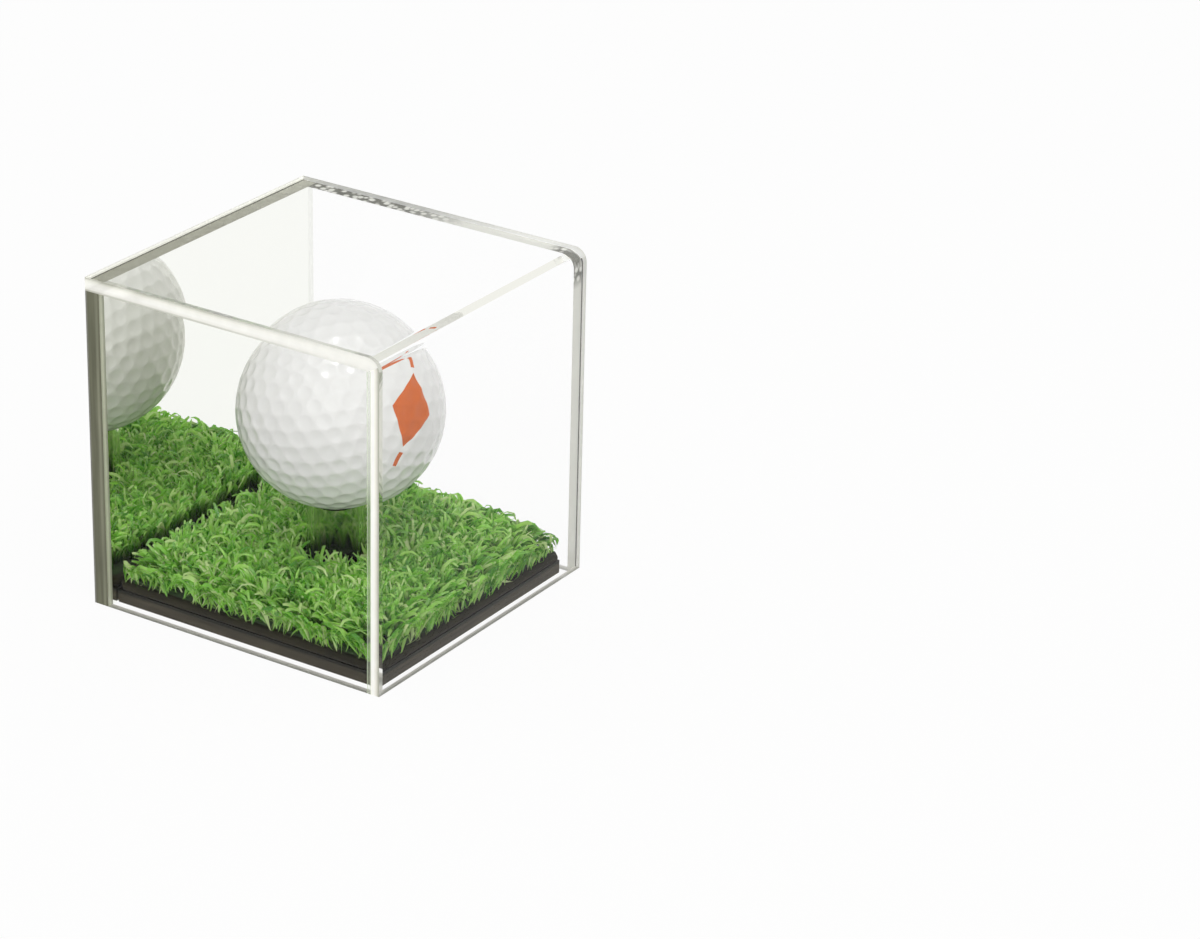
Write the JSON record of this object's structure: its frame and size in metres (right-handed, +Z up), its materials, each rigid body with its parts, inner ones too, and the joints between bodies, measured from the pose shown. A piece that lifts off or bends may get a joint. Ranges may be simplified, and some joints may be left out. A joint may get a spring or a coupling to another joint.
{
  "type": "golf ball display case",
  "caption": "Clear acrylic display cube for a golf ball, with a bent front and top, a mirrored back, and a black base with artificial turf and a tube stand.",
  "frame": {"origin": "middle of the case's underside, on the surface that it stands on", "axes": "+Z up; the bent front wall faces -Y, the mirrored back wall is at +Y, and +X is to the right of someone who faces the front"},
  "size_m": [0.0752, 0.0752, 0.0752],
  "materials": {
    "clear_acrylic": "polished clear sheet with saw-cut cream edges",
    "mirror_acrylic": "mirrored acrylic sheet with dark olive-grey cut edges",
    "mirror_coat": "matt grey protective coat",
    "black_acrylic": "black sheet with scored cut edges",
    "mat_rubber": "dull black latex backing",
    "grass": "semi-gloss green polyethylene blades",
    "ball_white": "clear-coated white ionomer",
    "ball_rubber": "moulded rubber"
  },
  "bodies": {
    "base": {"base_plate": "black_acrylic", "turf_backing": "mat_rubber", "turf_pile": "grass", "ball_stand": "clear_acrylic"},
    "cover": {"front_top_panel": "clear_acrylic", "left_side_panel": "clear_acrylic", "right_side_panel": "clear_acrylic", "mirror_panel": "mirror_acrylic", "mirror_backing": "mirror_coat"},
    "ball": {"ball_cover": "ball_white", "ball_core": "ball_rubber"}
  },
  "joints": [
    {"name": "cover_lift", "type": "slide", "parent": "base", "child": "cover", "axis": [0, 0, 1], "range_m": [0, 0.09]},
    {"name": "ball_turn", "type": "hinge", "parent": "base", "child": "ball", "pos_m": [0, 0, 0.04213], "axis": [0, 0, 1], "continuous": true}
  ]
}
